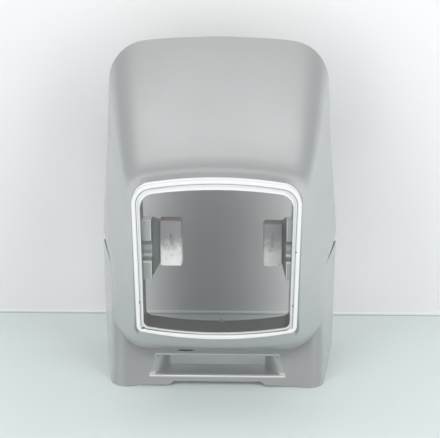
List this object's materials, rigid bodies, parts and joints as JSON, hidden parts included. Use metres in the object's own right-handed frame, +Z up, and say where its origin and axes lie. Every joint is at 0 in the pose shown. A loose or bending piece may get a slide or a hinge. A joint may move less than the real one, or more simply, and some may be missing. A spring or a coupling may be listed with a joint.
{
  "type": "motorcycle headlight cowl",
  "caption": "One-piece moulded headlight cowl with a leaning hood, a beaded rectangular lamp opening, side wings and a slotted jaw; push-on boots on its inner brackets.",
  "frame": {"origin": "on the floor, under the middle of the overall box", "axes": "+X to the right as seen from the front, -Y out of the lamp opening towards the viewer, +Z up"},
  "size_m": [0.2494, 0.146, 0.3405],
  "materials": {
    "silver_paint": "silver metallic paint, semi-gloss",
    "worn_boot": "worn pale paint over grey rubbery plastic"
  },
  "bodies": {
    "root": {"cowl_shell": "silver_paint", "left_mount_boot": "worn_boot", "right_mount_boot": "worn_boot"}
  },
  "joints": []
}
